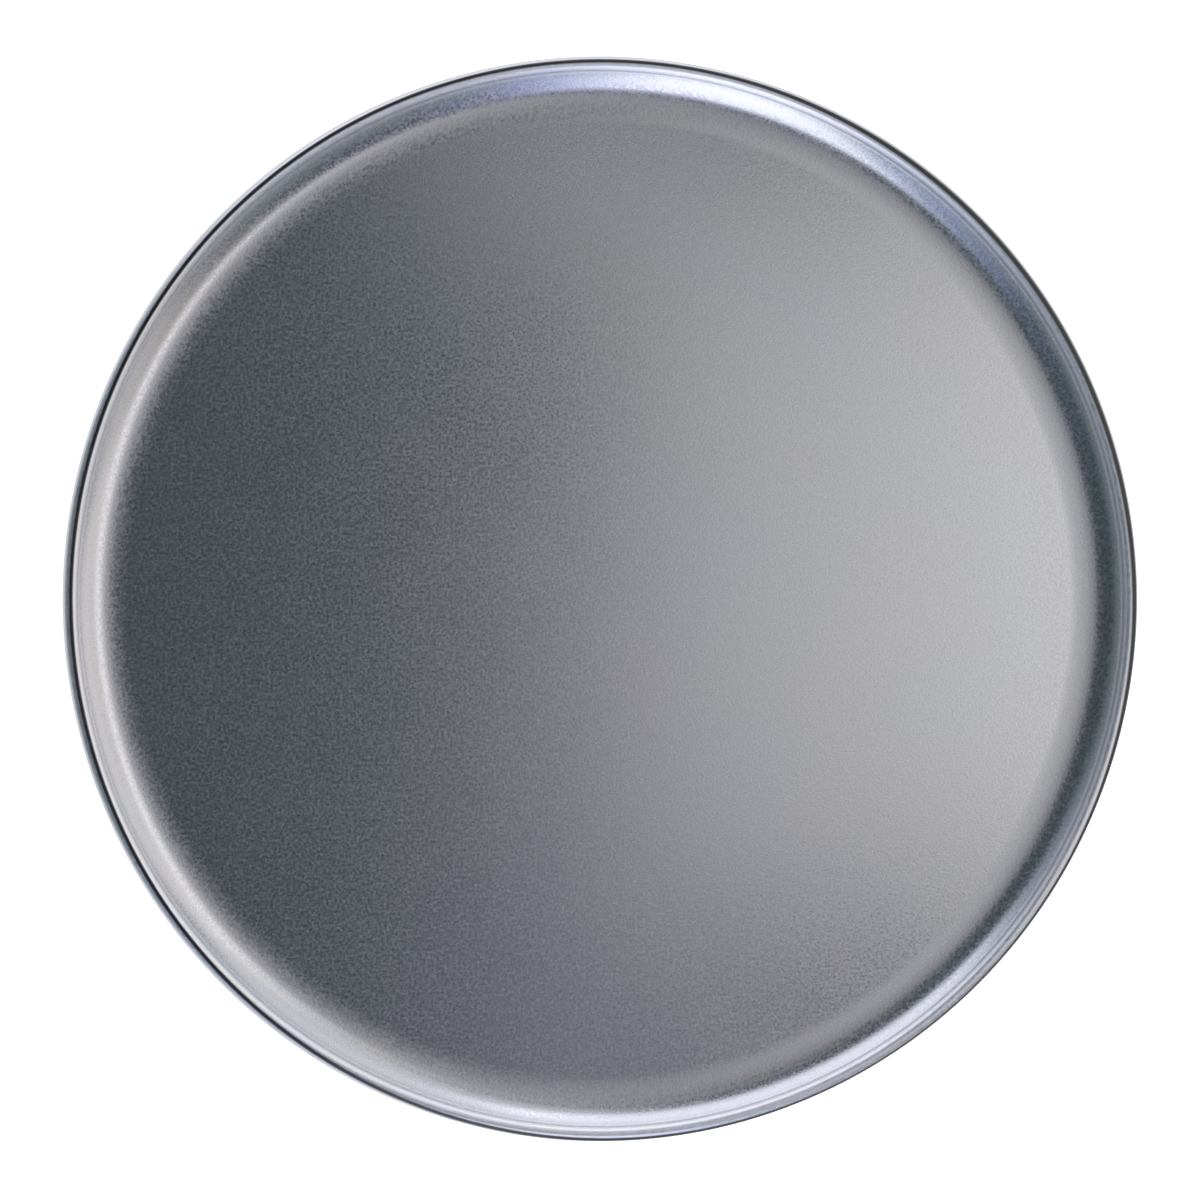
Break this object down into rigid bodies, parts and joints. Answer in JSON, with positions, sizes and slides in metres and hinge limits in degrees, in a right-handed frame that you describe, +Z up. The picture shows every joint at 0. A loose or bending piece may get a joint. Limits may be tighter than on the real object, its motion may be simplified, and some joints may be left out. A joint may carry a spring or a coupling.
{
  "type": "pizza pan",
  "caption": "Round, shallow pizza pan of pressed sheet metal, with a flat baking floor, a low wall that sweeps up and outward, and an edge rolled outward over a wire.",
  "frame": {"origin": "centre of the pan's underside, on the plane it stands on", "axes": "+Z up along the pan's axis of revolution; X and Y lie in the plane it stands on"},
  "size_m": [0.3555, 0.3556, 0.0095],
  "materials": {
    "pan_metal": "satin, finely grained",
    "wire_steel": "drawn and galvanised"
  },
  "bodies": {
    "root": {"pan_sheet": "pan_metal", "rim_wire": "wire_steel"}
  },
  "joints": []
}
